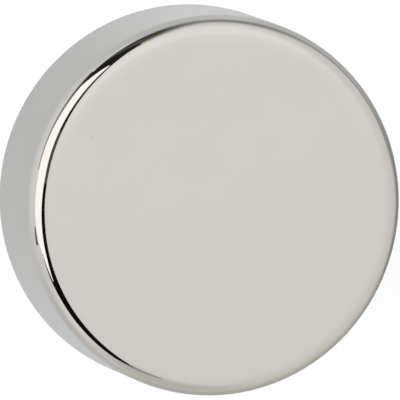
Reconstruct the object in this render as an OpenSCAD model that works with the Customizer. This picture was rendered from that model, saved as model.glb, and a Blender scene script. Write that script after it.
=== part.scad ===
// Disc magnet: one solid round piece with a bright plated finish.
// It has a flat pole face above and below, and one straight round wall.
// Each rim is tumbled smooth: a round corner off the wall runs tangent into a
// shallow ease, and the ease runs tangent into the flat face.
// Frame: the origin is the centre of the lower face, +Z runs along the axis.
// Sizes are in millimetres, angles in degrees.

/* [Disc] */
// Diameter across the round wall
disc_d = 20; // [8:0.5:50]
// Thickness from the lower face to the upper face
disc_h = 8; // [4:0.5:40]

/* [Rim] */
// Radius of the round corner between the wall and the ease
corner_r = 1; // [0.2:0.05:1.5]
// Radial width of the shallow ease between the corner and the flat face
ease_w = 0.6; // [0.4:0.05:1.5]
// Slope that the ease has reached where it meets the corner
ease_slope = 3; // [1:0.5:10]

/* [Hidden] */
$fn = 240;

// The ease is one arc. It leaves the flat face level and ends at ease_slope.
ease_r = ease_w / sin(ease_slope);
ease_drop = ease_r * (1 - cos(ease_slope));
// The corner arc starts at ease_slope too, this far out from its own centre.
meet_run = corner_r * sin(ease_slope);
// Its circle is sunk this far below the face, so that the two arcs meet.
corner_sink = ease_drop - corner_r * (1 - cos(ease_slope));
corner_depth = corner_r + corner_sink;

disc_r = disc_d / 2;
corner_x = disc_r - corner_r;
flat_r = corner_x + meet_run - ease_w;
wall_h = disc_h - 2 * corner_depth;
// The blocks of the section run into each other by this much.
lap = 0.1;

// Half section of one rim. Its own origin is on the face, over the centre of
// the corner circle, so that the small offsets stay exact.
module rim_section() {
    translate([0, -corner_sink]) translate([0, -corner_r]) circle(r = corner_r);
    translate([meet_run, 0]) intersection() {
        translate([-ease_w, -ease_r]) circle(r = ease_r);
        translate([-ease_w - lap, -corner_depth - lap]) square([ease_w + lap, corner_depth + lap]);
    }
}

// Half section of the disc, from the axis out to the wall.
module disc_section() {
    square([flat_r, disc_h]);
    translate([0, corner_depth]) square([disc_r, wall_h]);
    translate([corner_x, disc_h]) rim_section();
    translate([corner_x, 0]) mirror([0, 1]) rim_section();
}

module magnet_disc() {
    color([0.82, 0.80, 0.78]) rotate_extrude() disc_section();
}

magnet_disc();
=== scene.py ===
"""A plain disc magnet in bright nickel plate, lying on a plain pale floor."""

import math

import bmesh
import bpy
from mathutils import Matrix, Vector


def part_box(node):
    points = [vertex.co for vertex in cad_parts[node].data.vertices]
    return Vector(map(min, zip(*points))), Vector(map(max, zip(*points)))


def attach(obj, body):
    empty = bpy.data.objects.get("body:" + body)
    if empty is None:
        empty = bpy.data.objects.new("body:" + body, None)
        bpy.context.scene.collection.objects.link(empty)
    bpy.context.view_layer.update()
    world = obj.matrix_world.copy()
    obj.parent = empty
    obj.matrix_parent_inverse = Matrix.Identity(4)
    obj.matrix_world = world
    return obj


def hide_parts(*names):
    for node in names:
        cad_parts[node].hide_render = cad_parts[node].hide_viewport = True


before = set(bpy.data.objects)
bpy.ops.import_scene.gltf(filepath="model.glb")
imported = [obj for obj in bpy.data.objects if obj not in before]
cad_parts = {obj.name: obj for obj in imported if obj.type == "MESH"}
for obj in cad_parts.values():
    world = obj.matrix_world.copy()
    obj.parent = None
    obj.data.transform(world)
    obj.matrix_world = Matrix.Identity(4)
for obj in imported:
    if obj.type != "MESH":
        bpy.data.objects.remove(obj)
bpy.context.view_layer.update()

# The disc: one pressed and sintered puck, ground flat on both pole faces and then tumbled.
# A round corner off the wall runs tangent into a shallow ease, and the ease runs tangent
# into the flat face. Barrel plating covers the whole of it in bright nickel.
MM = 0.001
disc_low, disc_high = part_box("magnet_disc")
disc_radius = (disc_high.x - disc_low.x) / 2
corner_radius = 1.0 * MM
ease_width = 0.6 * MM
ease_slope = math.radians(3)
ease_radius = ease_width / math.sin(ease_slope)
ease_drop = ease_radius * (1 - math.cos(ease_slope))
corner_depth = ease_drop + corner_radius * math.cos(ease_slope)
corner_out = disc_radius - corner_radius
flat_radius = corner_out + corner_radius * math.sin(ease_slope) - ease_width
TURN_STEPS = 288
CORNER_STEPS = 58
EASE_STEPS = 8
WALL_STEPS = 6
WELD = 0.001 * MM


def drawn_on(shape, point, offset):
    """Draws the section on from its last point by a straight line."""
    drawn = bmesh.ops.extrude_vert_indiv(shape, verts=[point])["verts"]
    bmesh.ops.translate(shape, verts=drawn, vec=offset)
    return drawn[0]


def turned_on(shape, point, centre, angle, steps):
    """Draws the section on from its last point by an arc in the XZ plane."""
    drawn = bmesh.ops.spin(
        shape, geom=[point], cent=centre, axis=(0, 1, 0), angle=angle, steps=steps
    )["geom_last"]
    return next(item for item in drawn if isinstance(item, bmesh.types.BMVert))


def disc_mesh():
    """Half of the section is drawn from the middle of the face, mirrored and turned."""
    shape = bmesh.new()
    middle = (disc_low.z + disc_high.z) / 2
    ease_centre = (flat_radius, 0, disc_high.z - ease_radius)
    corner_centre = (corner_out, 0, disc_high.z - corner_depth)
    wall_step = (corner_centre[2] - middle) / WALL_STEPS
    point = shape.verts.new((0, 0, disc_high.z))
    point = drawn_on(shape, point, (flat_radius, 0, 0))
    point = turned_on(shape, point, ease_centre, ease_slope, EASE_STEPS)
    point = turned_on(shape, point, corner_centre, math.pi / 2 - ease_slope, CORNER_STEPS)
    for _ in range(WALL_STEPS):
        point = drawn_on(shape, point, (0, 0, -wall_step))
    bmesh.ops.mirror(
        shape,
        geom=shape.verts[:] + shape.edges[:],
        matrix=Matrix.Translation((0, 0, -middle)),
        merge_dist=WELD,
        axis="Z",
    )
    bmesh.ops.spin(
        shape,
        geom=shape.verts[:] + shape.edges[:],
        cent=(0, 0, 0),
        axis=(0, 0, 1),
        angle=math.tau,
        steps=TURN_STEPS,
        use_merge=True,
    )
    bmesh.ops.remove_doubles(shape, verts=shape.verts[:], dist=WELD)
    bmesh.ops.recalc_face_normals(shape, faces=shape.faces[:])
    for face in shape.faces:
        face.smooth = True
    mesh = bpy.data.meshes.new("plated_disc")
    shape.to_mesh(mesh)
    shape.free()
    return mesh


class Wire:
    """A node socket that takes part in sums: each operator adds a Math node."""

    def __init__(self, tree, socket=None):
        self.tree = tree
        self.socket = socket

    def node(self, kind, settings, sockets, output=0):
        """Adds a node: its settings come first, and then a value or a wire for each socket."""
        made = self.tree.nodes.new(kind)
        for name, value in settings.items():
            setattr(made, name, value)
        for key, value in sockets.items():
            if isinstance(value, Wire):
                self.tree.links.new(value.socket, made.inputs[key])
            else:
                made.inputs[key].default_value = value
        return Wire(self.tree, made.outputs[output] if made.outputs else None)

    def math(self, operation, first, second):
        return self.node("ShaderNodeMath", {"operation": operation}, {0: first, 1: second})

    def __add__(self, other):
        return self.math("ADD", self, other)

    def __radd__(self, other):
        return self.math("ADD", other, self)

    def __sub__(self, other):
        return self.math("SUBTRACT", self, other)

    def __rsub__(self, other):
        return self.math("SUBTRACT", other, self)

    def __mul__(self, other):
        return self.math("MULTIPLY", self, other)

    def __rmul__(self, other):
        return self.math("MULTIPLY", other, self)

    def vector_math(self, operation, first, second, output):
        sockets = {0: first, 1: second}
        return self.node("ShaderNodeVectorMath", {"operation": operation}, sockets, output)

    def dot(self, first, second):
        return self.vector_math("DOT_PRODUCT", first, second, "Value")

    def distance(self, first, second):
        return self.vector_math("DISTANCE", first, second, "Value")

    def scaled(self, first, second):
        """The first vector times the second, axis by axis."""
        return self.vector_math("MULTIPLY", first, second, "Vector")

    def unit(self, vector):
        return self.node("ShaderNodeVectorMath", {"operation": "NORMALIZE"}, {0: vector})

    def blend(self, factor, first, second):
        """A mix of two colours."""
        sockets = {"Factor": factor, 6: first, 7: second}
        return self.node("ShaderNodeMix", {"data_type": "RGBA"}, sockets, output=2)

    def ramp(self, start, end, low=0.0, high=1.0, shape="SMOOTHSTEP"):
        """Goes from low at start to high at end, and stays level outside them."""
        return self.node(
            "ShaderNodeMapRange",
            {"interpolation_type": shape},
            {"Value": self, "From Min": start, "From Max": end, "To Min": low, "To Max": high},
        )


def new_material(name):
    """An empty node material, and its tree as a wire."""
    material = bpy.data.materials.new(name)
    material.use_nodes = True
    material.node_tree.nodes.clear()
    return material, Wire(material.node_tree)


NICKEL = (0.643, 0.613, 0.580, 1)
NICKEL_HAZE = (0.623, 0.595, 0.564, 1)
# PIT_SHADE is painted shade: the darker colour that the pits and pinholes get in their hollows.
PIT_SHADE = (0.470, 0.445, 0.410, 1)
PLATE_ROUGHNESS = 0.075
WALL_FADE = (disc_radius - 0.02 * MM, disc_radius - 0.002 * MM)
SWELL_SPACING = 1.3 * MM
FACE_SWELL = 0.0012 * MM
RIM_SWELL = 0.0080 * MM
WALL_SWELL = 0.0030 * MM
CLOUD_SPACING = 3.1 * MM
CLOUD_DETAIL = 4.0
CLOUD_RANGE = (0.38, 0.66)
HAZE_STRENGTH = 0.6
HAZE_ROUGHNESS = 0.025
GRAIN_SPACING = 0.11 * MM
GRAIN_DETAIL = 3.0
GRAIN_RANGE = (0.35, 0.65)
GRAIN_HAZE = 0.25
GRAIN_HEIGHT = 0.00004 * MM
RING_SPACING = 0.16 * MM
RING_STRETCH = (0.12, 0.12, 1)
RING_HEIGHT = 0.00015 * MM
RING_ROUGHNESS = 0.02
PIT_RADIUS = 0.085 * MM
PIT_SPACING = 1.8 * MM
PIT_DEPTH = 0.0015 * MM
PIT_SHADE_SHARE = 0.35
PIT_ROUGHNESS = 0.12
PINHOLE_RADIUS = 0.020 * MM
PINHOLE_SPACING = 0.35 * MM
PINHOLE_DEPTH = 0.0006 * MM
PINHOLE_SHADE_SHARE = 0.8
PINHOLE_ROUGHNESS = 0.20


def nickel_plate():
    """Bright plate with a slow swell, a thin haze, fine grain, pinholes and a few small pits.
    The tumbled rim swells most, the ground faces least, and the wall has faint ring marks."""
    material, wire = new_material("nickel_plate")
    place = wire.node("ShaderNodeTexCoord", {}, {}, output="Object")
    level_place = wire.scaled(place, (1, 1, 0))
    reach = wire.distance(level_place, (0, 0, 0))
    rim = reach.ramp(flat_radius, corner_out + corner_radius / 2)
    wall = reach.ramp(*WALL_FADE)

    def noise(spacing, detail=2.0, at=place):
        sockets = {"Vector": at, "Scale": 1 / spacing, "Detail": detail}
        return wire.node("ShaderNodeTexNoise", {}, sockets)

    def spots(spacing, radius):
        """Round spots that are full within half of their radius and fade out at the whole."""
        sockets = {"Vector": place, "Scale": 1 / spacing}
        off_centre = wire.node("ShaderNodeTexVoronoi", {"feature": "F1"}, sockets, output="Distance")
        return off_centre.ramp(0.5 * radius / spacing, radius / spacing, 1, 0)

    swell = noise(SWELL_SPACING)
    cloud = noise(CLOUD_SPACING, detail=CLOUD_DETAIL)
    grain = noise(GRAIN_SPACING, detail=GRAIN_DETAIL)
    drawn_out = wire.scaled(place, RING_STRETCH)
    ring_marks = noise(RING_SPACING, detail=GRAIN_DETAIL, at=drawn_out) * wall
    pits = spots(PIT_SPACING, PIT_RADIUS)
    pinholes = spots(PINHOLE_SPACING, PINHOLE_RADIUS)

    haze = cloud.ramp(*CLOUD_RANGE) + GRAIN_HAZE * grain.ramp(*GRAIN_RANGE)
    hazed = wire.blend(HAZE_STRENGTH * haze, NICKEL, NICKEL_HAZE)
    # The pits and pinholes are painted darker towards PIT_SHADE: painted shade in their hollows.
    colour = wire.blend(PIT_SHADE_SHARE * pits + PINHOLE_SHADE_SHARE * pinholes, hazed, PIT_SHADE)
    swell_height = FACE_SWELL + rim * (RIM_SWELL - FACE_SWELL) - wall * (RIM_SWELL - WALL_SWELL)
    relief = (
        swell * swell_height
        + grain * GRAIN_HEIGHT
        + ring_marks * RING_HEIGHT
        - pits * PIT_DEPTH
        - pinholes * PINHOLE_DEPTH
    )
    bump = wire.node("ShaderNodeBump", {}, {"Height": relief, "Distance": 1.0})
    roughness = (
        PLATE_ROUGHNESS
        + HAZE_ROUGHNESS * haze
        + RING_ROUGHNESS * ring_marks
        + PIT_ROUGHNESS * pits
        + PINHOLE_ROUGHNESS * pinholes
    )
    shader = wire.node(
        "ShaderNodeBsdfPrincipled",
        {},
        {"Base Color": colour, "Metallic": 1.0, "Roughness": roughness, "Normal": bump},
    )
    wire.node("ShaderNodeOutputMaterial", {}, {"Surface": shader})
    return material


disc = bpy.data.objects.new("plated_disc", disc_mesh())
bpy.context.scene.collection.objects.link(disc)
disc.data.materials.append(nickel_plate())
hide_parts("magnet_disc")
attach(disc, "root")


# The camera: it looks down on the disc from a little off its axis, through a long lens.
# Its frame is only just wider than the disc.
CAMERA_TILT = 15.67
CAMERA_AZIMUTH = 158.45
CAMERA_DISTANCE = 0.8
FRAME_WIDTH = 20.863 * MM
AIM_RIGHT = -0.95 * MM
AIM_UP = 0.365 * MM


def direction_of(azimuth, elevation):
    """The unit vector that points to an azimuth and an elevation, both in degrees."""
    turn = math.radians(azimuth)
    rise = math.radians(elevation)
    level = math.cos(rise)
    return Vector((level * math.cos(turn), level * math.sin(turn), math.sin(rise)))


towards_camera = direction_of(CAMERA_AZIMUTH, 90 - CAMERA_TILT)
camera_turn = Vector((0, 0, 1)).rotation_difference(towards_camera)
aim = Vector((0, 0, disc_high.z)) + camera_turn @ Vector((AIM_RIGHT, AIM_UP, 0))
camera = bpy.data.objects.new("camera", bpy.data.cameras.new("camera"))
bpy.context.scene.collection.objects.link(camera)
bpy.context.scene.camera = camera
camera.data.lens = camera.data.sensor_width * CAMERA_DISTANCE / FRAME_WIDTH
camera.location = aim + towards_camera * CAMERA_DISTANCE
camera.rotation_mode = "QUATERNION"
camera.rotation_quaternion = camera_turn


# The floor: one large sheet of matt white board, which keeps the disc's soft shadow. To the
# camera it is mostly plain white. The white that the plating sees on it is painted light and
# shade: most on the side that the softbox lights, near the back, at the foot and in a painted
# pool of light, and least in a painted shadow on the right and far off at the back, where the
# board is also painted darker.
FLOOR_SIDE = 3.0
COOL_BOARD = (0.470, 0.500, 0.512, 1)
WARM_BOARD = (0.500, 0.498, 0.460, 1)
# SHADED_BOARD is the board's colour in the painted shadow that only the plating sees.
SHADED_BOARD = (0.360, 0.372, 0.366, 1)
BACKDROP_WHITE = 1.22
SEEN_SHARE = 0.75
# The ways, spots and fades below paint light and shade into the white that the plating sees.
LIT_WAY = direction_of(160, 0)
BACK_WAY = direction_of(78, 0)
WARM_WAY = direction_of(287, 0)
LIGHT_POOL = 32 * MM * direction_of(167, 0)
SHADED_SPOT = 30 * MM * direction_of(359, 0)
SHADED_WAY = direction_of(55, 0)
FRONT_SHADE_SPOT = 12 * MM * direction_of(235, 0)
# Each fade has its start and its end, and then the share at its start and at its end. The
# starts and sides go from none to all between their two values.
LIT_FADE = (-8 * MM, 3 * MM, 0.11, 0.25)
LIT_LOSS_FADE = (4 * MM, 10 * MM, 0, 0.055)
BACK_LIGHT_FADE = (8 * MM, 11.5 * MM, 0, 0.06)
FRONT_SHADE_FADE = (2 * MM, 7 * MM, -0.06, 0)
FOOT_LIGHT_FADE = (11 * MM, 12.2 * MM, 0.04, 0)
LIGHT_POOL_FADE = (9 * MM, 29 * MM, 0.36, 0)
LIGHT_POOL_START = (11.5 * MM, 14 * MM)
OPEN_FADE = (20 * MM, 62 * MM, 0, 0.25)
SPOT_FADE = (7 * MM, 20 * MM, 1, 0)
FAR_DEPTH = 0.85
FAR_SIDES = (0.50, 0.75)
FAR_START = (34 * MM, 60 * MM)
WARM_START = (8 * MM, 20 * MM)


def floor_board():
    """Matt board under a share of plain white, which differs for the camera and the plating. The
    plating's share is painted light and shade.
    """
    material, wire = new_material("floor_board")
    place = wire.node("ShaderNodeTexCoord", {}, {}, output="Object")
    seen = wire.node("ShaderNodeLightPath", {}, {}, output="Is Camera Ray")
    glossy = wire.node("ShaderNodeLightPath", {}, {}, output="Is Glossy Ray")
    through = wire.node("ShaderNodeLightPath", {}, {}, output="Is Transmission Ray")
    reflected = glossy + through

    litward = wire.dot(place, LIT_WAY)
    backward = wire.dot(place, BACK_WAY)
    frontward = wire.dot(place, WARM_WAY)
    spread = wire.distance(place, (0, 0, 0))
    # Painted light and shade for the plating: these shares raise the floor's white towards the
    # softbox, near the back, at the disc's foot, in a painted pool of light and far from the disc,
    # and lower it in a painted shade spot at the front.
    near_share = litward.ramp(*LIT_FADE) - litward.ramp(*LIT_LOSS_FADE)
    back_light_share = backward.ramp(*BACK_LIGHT_FADE)
    front_shade_share = wire.distance(place, FRONT_SHADE_SPOT).ramp(*FRONT_SHADE_FADE)
    foot_light_share = spread.ramp(*FOOT_LIGHT_FADE)
    light_pool_share = wire.distance(place, LIGHT_POOL).ramp(*LIGHT_POOL_FADE) * spread.ramp(*LIGHT_POOL_START)
    open_share = spread.ramp(*OPEN_FADE)
    # Painted shadow for the plating: a spot on the right and a far stretch at the back take the
    # white away and paint the board darker.
    spot = wire.distance(place, SHADED_SPOT).ramp(*SPOT_FADE)
    heading = wire.dot(wire.unit(place), SHADED_WAY)
    painted_far_shade = FAR_DEPTH * heading.ramp(*FAR_SIDES) * spread.ramp(*FAR_START)
    shaded = (spot + painted_far_shade) * reflected
    near_shares = near_share + back_light_share + front_shade_share + foot_light_share
    painted_light_share = (near_shares + light_pool_share + open_share) * (1 - shaded)

    tint = wire.blend(frontward.ramp(*WARM_START), COOL_BOARD, WARM_BOARD)
    # The board is painted darker there, towards SHADED_BOARD, as painted shadow that only
    # reflections see.
    matt = wire.node("ShaderNodeBsdfDiffuse", {}, {"Color": wire.blend(shaded, tint, SHADED_BOARD)})
    white = wire.node("ShaderNodeEmission", {}, {"Strength": BACKDROP_WHITE})
    share = SEEN_SHARE * seen + painted_light_share * reflected
    shader = wire.node("ShaderNodeMixShader", {}, {0: share, 1: matt, 2: white})
    wire.node("ShaderNodeOutputMaterial", {}, {"Surface": shader})
    return material


def object_from(name, shape, material):
    """Makes a finished bmesh an object of the scene."""
    mesh = bpy.data.meshes.new(name)
    shape.to_mesh(mesh)
    shape.free()
    made = bpy.data.objects.new(name, mesh)
    bpy.context.scene.collection.objects.link(made)
    mesh.materials.append(material)
    return made


floor_shape = bmesh.new()
bmesh.ops.create_grid(floor_shape, x_segments=1, y_segments=1, size=FLOOR_SIDE / 2)
floor = object_from("floor", floor_shape, floor_board())


# The room: pale and even, with a soft glow high at the back, a dim band low at the back, and a
# dim, warmer patch at the front. The camera sees it plain white, and the floor gets less of
# it than the plating does.
ROOM_LEVEL = 0.843
ROOM_TREND = Vector((-0.032, 0.045, 0.150))
GLOW_WAY = direction_of(74, 62)
GLOW_SIDES = (0.80, 0.97)
GLOW_LEVEL = 0.15
LOW_GLOW_WAY = direction_of(234, 15)
LOW_GLOW_SIDES = (0.94, 0.985)
LOW_GLOW_LEVEL = 0.13
DIM_WAY = direction_of(266, 20)
DIM_SIDES = (0.86, 0.985)
DIM_DEPTH = 0.16
BAND_WAY = direction_of(80, 0)
BAND_SIDES = (0.70, 0.97)
BAND_TOP = (0.06, 0.42, 1, 0)
BAND_DEPTH = 0.62
ROOM_FILL = 0.6
WHITE = (1, 1, 1, 1)
COOL_AIR = (0.975, 1.0, 1.005, 1)
COOL_SIDES = (0.3, 0.9)
WARM_AIR = (1.0, 1.003, 0.965, 1)
WARM_SIDES = (0.65, 0.92)

room = bpy.data.worlds.new("room")
bpy.context.scene.world = room
room.use_nodes = True
room.node_tree.nodes.clear()
air = Wire(room.node_tree)
way = air.node("ShaderNodeTexCoord", {}, {}, output="Generated")
rise = air.dot(way, Vector((0, 0, 1)))
glow = GLOW_LEVEL * air.dot(way, GLOW_WAY).ramp(*GLOW_SIDES)
low_glow = LOW_GLOW_LEVEL * air.dot(way, LOW_GLOW_WAY).ramp(*LOW_GLOW_SIDES)
dim = DIM_DEPTH * air.dot(way, DIM_WAY).ramp(*DIM_SIDES)
band = BAND_DEPTH * rise.ramp(*BAND_TOP) * air.dot(way, BAND_WAY).ramp(*BAND_SIDES)
open_level = ROOM_LEVEL + air.dot(way, ROOM_TREND) + glow + low_glow - dim
level = open_level * (1 - band)
cooled = air.blend(air.dot(way, BACK_WAY).ramp(*COOL_SIDES), WHITE, COOL_AIR)
warmed = air.blend(air.dot(way, WARM_WAY).ramp(*WARM_SIDES), cooled, WARM_AIR)
seen = air.node("ShaderNodeLightPath", {}, {}, output="Is Camera Ray")
glossy = air.node("ShaderNodeLightPath", {}, {}, output="Is Glossy Ray")
through = air.node("ShaderNodeLightPath", {}, {}, output="Is Transmission Ray")
strength = seen + (1 - seen) * level * (ROOM_FILL + (1 - ROOM_FILL) * (glossy + through))
colour = air.blend(seen, warmed, WHITE)
background = air.node("ShaderNodeBackground", {}, {"Color": colour, "Strength": strength})
air.node("ShaderNodeOutputWorld", {}, {"Surface": background})
room.cycles.sampling_method = "NONE"


# The softbox: one broad light low on the left, that comes to a point at its near end. It lights
# only the floor, where it lays the disc's soft shadow to the right.
SOFTBOX_DISTANCE = 0.30
SOFTBOX_LIGHT = 4.5
SOFTBOX_STEP = 90
SOFTBOX_BANDS = 1
SOFTBOX_EDGES = (
    (118, 40, 43), (122, 31, 43), (134, 9, 45.5), (160, 4.5, 48), (174, 4.5, 51),
    (187, 6, 47.5), (199, 11, 43.3), (204, 23, 42), (209, 26, 40.5), (216, 30, 33),
)


def even_paint(name, level):
    """Paint that glows at one level, as bright from every side."""
    material, wire = new_material(name)
    glow = wire.node("ShaderNodeEmission", {}, {"Strength": level})
    wire.node("ShaderNodeOutputMaterial", {}, {"Surface": glow})
    return material


def bent_card(name, edges, middle_at, reach, material, step, bands):
    """A card given by azimuth, low edge and high edge, in degrees. It stands at its reach from
    the middle that each azimuth has, and the edges turn about that middle."""
    shape = bmesh.new()
    last = None
    for (start, *ends), (stop, *next_ends) in zip(edges, edges[1:]):
        steps = math.ceil((stop - start) / step)
        for count in range(1 if last else 0, steps + 1):
            share = count / steps
            azimuth = start + share * (stop - start)
            low, high = (end + share * (goal - end) for end, goal in zip(ends, next_ends))
            row = []
            for band in range(bands + 1):
                turn = low + (high - low) * band / bands
                row.append(shape.verts.new(middle_at(azimuth) + direction_of(azimuth, turn) * reach))
            for band in range(bands if last else 0):
                bmesh.ops.contextual_create(shape, geom=last[band:band + 2] + row[band:band + 2])
            last = row
    made = object_from(name, shape, material)
    made.visible_camera = False
    return made


def face_middle(_azimuth):
    """The middle of the upper face, which is the same for every azimuth."""
    return Vector((0, 0, disc_high.z))


softbox = bent_card(
    "softbox",
    SOFTBOX_EDGES,
    face_middle,
    SOFTBOX_DISTANCE,
    even_paint("softbox", SOFTBOX_LIGHT),
    SOFTBOX_STEP,
    SOFTBOX_BANDS,
)
softbox.visible_glossy = False


# The collar: one white card and four dark ones behind it, two small strips in front and one
# smoked gel at the back, all bent close round the upper corner on the left. They give the
# bright rim its white band and its thin dark lines, and they keep no light from the floor.
BRIGHT_LEVEL = 1.52
BLACK = 0.006
SOOT = 0.020
DARK_GREY = 0.10
MID_GREY = 0.45
STRIP_REACH = 1.47 * MM
BRIGHT_REACH = 1.50 * MM
BLACK_REACH = 1.53 * MM
GREY_REACH = 1.56 * MM
GEL_REACH = 1.60 * MM
COLLAR_STEP = 1
COLLAR_BANDS = 8
BRIGHT_EDGES = (
    (127.8, 53.3, 55.4), (130.2, 46.8, 55.2), (138.7, 30.7, 56.3), (159.7, 27.2, 57.7),
    (170, 27.3, 60), (181.4, 28.6, 57.5), (191.1, 32.8, 55.2), (194.8, 41.6, 54.6),
    (196.9, 43, 54.2), (198.6, 44, 53), (204, 47.2, 49.1),
)
NEAR_EDGES = (
    (115.5, 44.6, 50.7), (123.5, 34.9, 56.1), (126.5, 29.8, 58.1), (129.1, 25.3, 59.7),
    (132.7, 25.4, 61.9), (154.5, 26.2, 68.3),
)
MIDDLE_EDGES = ((154.5, 32.6, 68.3), (168, 32.6, 71), (172, 32.7, 71))
FAR_EDGES = (
    (172, 32.7, 71), (183.3, 33.1, 70.6), (191.1, 33.4, 68.9), (194.8, 40.8, 68),
    (202.3, 39.8, 66.6), (210.6, 42.6, 65.2), (219, 43.7, 63.7), (230.2, 44.9, 61.1),
    (235.4, 45.3, 59.1), (240.9, 49.1, 57), (243, 50.6, 51),
)
END_EDGES = ((242, 45.2, 58.2), (252, 49.7, 57.2), (254, 50.7, 51))
LONG_EDGES = ((133, 20.3, 26), (150.5, 20, 25.6), (168, 20, 25.6))
LONG_GREYS = (0.02, 0.52)
SHORT_EDGES = ((186, 22.5, 27.5), (191.7, 19, 29.2))
SHORT_GREY = 0.08
GEL_EDGES = ((93, 24.6, 57), (104, 24, 57), (121, 23.2, 57), (137, 22.6, 57), (149, 22.4, 57))
GEL_SPOT = 10.36 * MM * direction_of(121, 0) + Vector((0, 0, 7.85 * MM))
GEL_SQUASH = Vector((1, 1, 10))
GEL_FADE = (2.2 * MM, 5.05 * MM, 0.907, 0)
GEL_OLIVE = (0.03, 0.03, 0, 1)


def corner_middle(azimuth):
    """The middle of the corner's own circle at an azimuth."""
    return direction_of(azimuth, 0) * corner_out + Vector((0, 0, disc_high.z - corner_depth))


def collar(name, edges, reach, material):
    """A card bent close round the corner, that only reflections see."""
    card = bent_card(name, edges, corner_middle, reach, material, COLLAR_STEP, COLLAR_BANDS)
    card.visible_diffuse = False
    card.visible_shadow = False


def fading_paint(name, edges, start_grey, end_grey):
    """Paint that goes evenly from one grey at the card's start to another at its end."""
    material, wire = new_material(name)
    place = wire.node("ShaderNodeTexCoord", {}, {}, output="Object")
    start, end = edges[0][0], edges[-1][0]
    half_length = disc_radius * math.sin(math.radians(end - start) / 2)
    along = wire.dot(place, direction_of((start + end) / 2 + 90, 0))
    grey = along.ramp(-half_length, half_length, start_grey, end_grey, shape="LINEAR")
    glow = wire.node("ShaderNodeEmission", {}, {"Color": grey})
    wire.node("ShaderNodeOutputMaterial", {}, {"Surface": glow})
    return material


def smoked_gel(name):
    """Clear at its sides, and nearly black with a little olive round one spot."""
    material, wire = new_material(name)
    place = wire.node("ShaderNodeTexCoord", {}, {}, output="Object")
    off_spot = wire.distance(wire.scaled(place, GEL_SQUASH), GEL_SPOT * GEL_SQUASH)
    smoke = off_spot.ramp(*GEL_FADE)
    clear = wire.node("ShaderNodeBsdfTransparent", {}, {})
    dark = wire.node("ShaderNodeEmission", {}, {"Color": GEL_OLIVE})
    shader = wire.node("ShaderNodeMixShader", {}, {0: smoke, 1: clear, 2: dark})
    wire.node("ShaderNodeOutputMaterial", {}, {"Surface": shader})
    return material


collar("bright_card", BRIGHT_EDGES, BRIGHT_REACH, even_paint("bright_card", BRIGHT_LEVEL))
collar("near_card", NEAR_EDGES, BLACK_REACH, even_paint("near_card", SOOT))
collar("middle_card", MIDDLE_EDGES, BLACK_REACH, even_paint("middle_card", DARK_GREY))
collar("far_card", FAR_EDGES, BLACK_REACH, even_paint("far_card", BLACK))
collar("end_card", END_EDGES, GREY_REACH, even_paint("end_card", MID_GREY))
collar("long_strip", LONG_EDGES, STRIP_REACH, fading_paint("long_strip", LONG_EDGES, *LONG_GREYS))
collar("short_strip", SHORT_EDGES, STRIP_REACH, even_paint("short_strip", SHORT_GREY))
collar("smoked_gel", GEL_EDGES, GEL_REACH, smoked_gel("smoked_gel"))

bpy.context.scene.view_settings.view_transform = "Standard"
